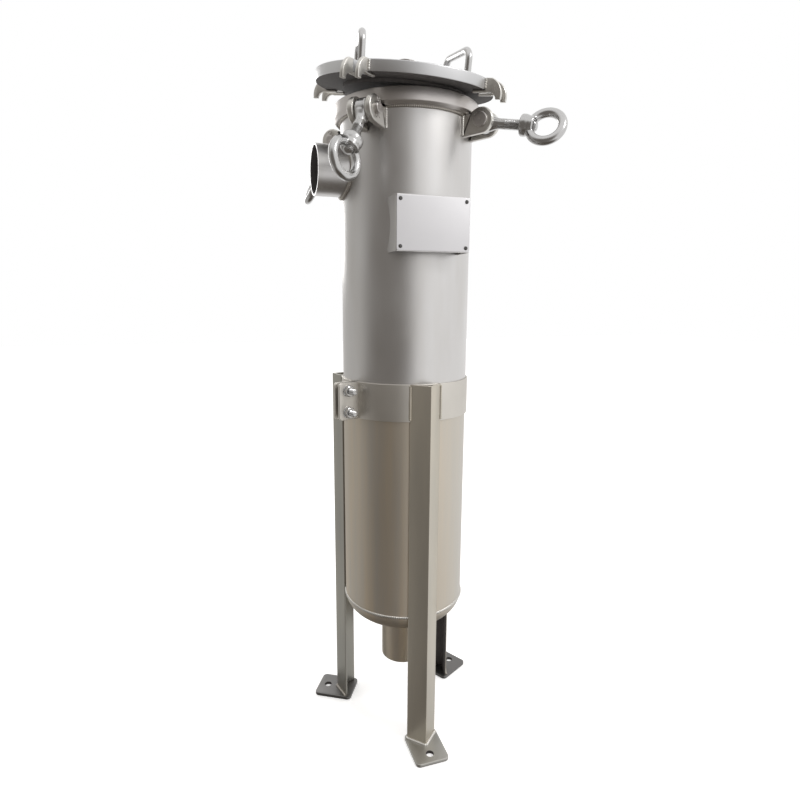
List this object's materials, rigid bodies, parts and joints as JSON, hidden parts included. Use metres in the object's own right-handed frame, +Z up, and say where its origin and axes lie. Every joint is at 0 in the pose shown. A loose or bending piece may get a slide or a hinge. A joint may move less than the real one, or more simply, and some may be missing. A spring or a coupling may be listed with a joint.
{
  "type": "bag filter housing",
  "caption": "Upright steel bag filter vessel with side inlet, bottom outlet, lift-off lid with swing bolts, perforated basket and angle-iron legs.",
  "frame": {"origin": "on the vessel axis at floor level, centre of the three foot bolt holes", "axes": "+Z up the vessel axis; the front with the nameplate and one leg faces -Y; the inlet nozzle points along -X"},
  "size_m": [0.3547, 0.3556, 1.1988],
  "materials": {
    "brushed_shell": "satin",
    "machined_steel": "machined",
    "lid_steel": "fine brushed",
    "bright_fasteners": "polished",
    "cast_lugs": "cast and bead blasted",
    "leg_steel": "mill",
    "weld_bead": "as welded",
    "seal_rubber": "smooth",
    "bag_felt": "needle felt",
    "bag_collar": "moulded",
    "basket_steel": "pickled",
    "plate_blank": "matt anodised",
    "bracket_sheet": "brushed",
    "rivet_dark": "black"
  },
  "bodies": {
    "vessel": {"bag_ring": "bag_collar", "basket_bail": "basket_steel", "basket_floor": "basket_steel", "basket_rim": "basket_steel", "basket_seat": "basket_steel", "bottom_head": "brushed_shell", "clamp_band": "leg_steel", "clamp_bolts": "bright_fasteners", "clamp_nuts": "bright_fasteners", "filter_bag": "bag_felt", "filter_shell": "brushed_shell", "foot_plate_back_left": "leg_steel", "foot_plate_back_right": "leg_steel", "foot_plate_front": "leg_steel", "foot_weld_back_left": "weld_bead", "foot_weld_back_right": "weld_bead", "foot_weld_front": "weld_bead", "inlet_nozzle": "machined_steel", "leg_back_left": "leg_steel", "leg_back_right": "leg_steel", "leg_front": "leg_steel", "lug_back_left": "cast_lugs", "lug_back_right": "cast_lugs", "lug_front_left": "cast_lugs", "lug_front_right": "cast_lugs", "lug_pin_back_left": "bright_fasteners", "lug_pin_back_right": "bright_fasteners", "lug_pin_front_left": "bright_fasteners", "lug_pin_front_right": "bright_fasteners", "nameplate": "plate_blank", "nameplate_bracket": "bracket_sheet", "nameplate_rivets": "rivet_dark", "o_ring": "seal_rubber", "outlet_pipe": "machined_steel", "support_basket": "basket_steel", "top_flange": "machined_steel"},
    "lid": {"lid_ear_back_left": "lid_steel", "lid_ear_back_right": "lid_steel", "lid_ear_front_left": "lid_steel", "lid_ear_front_right": "lid_steel", "lid_handle_left": "lid_steel", "lid_handle_right": "lid_steel", "lid_plate": "lid_steel", "vent_socket": "lid_steel"},
    "plug": {"vent_plug": "bright_fasteners"},
    "bolt_front_left": {"swing_bolt_front_left": "bright_fasteners"},
    "nut_front_left": {"eye_nut_front_left": "bright_fasteners"},
    "bolt_front_right": {"swing_bolt_front_right": "bright_fasteners"},
    "nut_front_right": {"eye_nut_front_right": "bright_fasteners"},
    "bolt_back_left": {"swing_bolt_back_left": "bright_fasteners"},
    "nut_back_left": {"eye_nut_back_left": "bright_fasteners"},
    "bolt_back_right": {"swing_bolt_back_right": "bright_fasteners"},
    "nut_back_right": {"eye_nut_back_right": "bright_fasteners"}
  },
  "joints": [
    {"name": "lid_lift", "type": "slide", "parent": "vessel", "child": "lid", "axis": [0, 0, 1], "range_m": [0, 0.35]},
    {"name": "vent_plug_turn", "type": "hinge", "parent": "lid", "child": "plug", "pos_m": [-0.00722, -0.01611, 1.13795], "axis": [0.0237, -0.1755, 0.9842], "continuous": true},
    {"name": "bolt_swing_front_left", "type": "hinge", "parent": "vessel", "child": "bolt_front_left", "pos_m": [-0.09687, -0.09687, 1.062], "axis": [-0.7071, 0.7071, 0], "range_deg": [-30, 70]},
    {"name": "nut_turn_front_left", "type": "hinge", "parent": "bolt_front_left", "child": "nut_front_left", "pos_m": [-0.1354, -0.1354, 0.98418], "axis": [-0.4056, -0.4056, -0.8192], "continuous": true},
    {"name": "bolt_swing_front_right", "type": "hinge", "parent": "vessel", "child": "bolt_front_right", "pos_m": [0.09687, -0.09687, 1.062], "axis": [-0.7071, -0.7071, 0], "range_deg": [-75, 25]},
    {"name": "nut_turn_front_right", "type": "hinge", "parent": "bolt_front_right", "child": "nut_front_right", "pos_m": [0.16512, -0.16512, 1.04498], "axis": [0.6964, -0.6964, -0.1736], "continuous": true},
    {"name": "bolt_swing_back_left", "type": "hinge", "parent": "vessel", "child": "bolt_back_left", "pos_m": [-0.09687, 0.09687, 1.062], "axis": [0.7071, 0.7071, 0], "range_deg": [-31, 92]},
    {"name": "nut_turn_back_left", "type": "hinge", "parent": "bolt_back_left", "child": "nut_back_left", "pos_m": [-0.13428, 0.13428, 0.98919], "axis": [-0.4156, 0.4156, -0.809], "continuous": true},
    {"name": "bolt_swing_back_right", "type": "hinge", "parent": "vessel", "child": "bolt_back_right", "pos_m": [0.09687, 0.09687, 1.062], "axis": [0.7071, -0.7071, 0], "range_deg": [-25, 98]},
    {"name": "nut_turn_back_right", "type": "hinge", "parent": "bolt_back_right", "child": "nut_back_right", "pos_m": [0.13046, 0.13046, 0.97973], "axis": [0.3536, 0.3536, -0.866], "continuous": true}
  ]
}
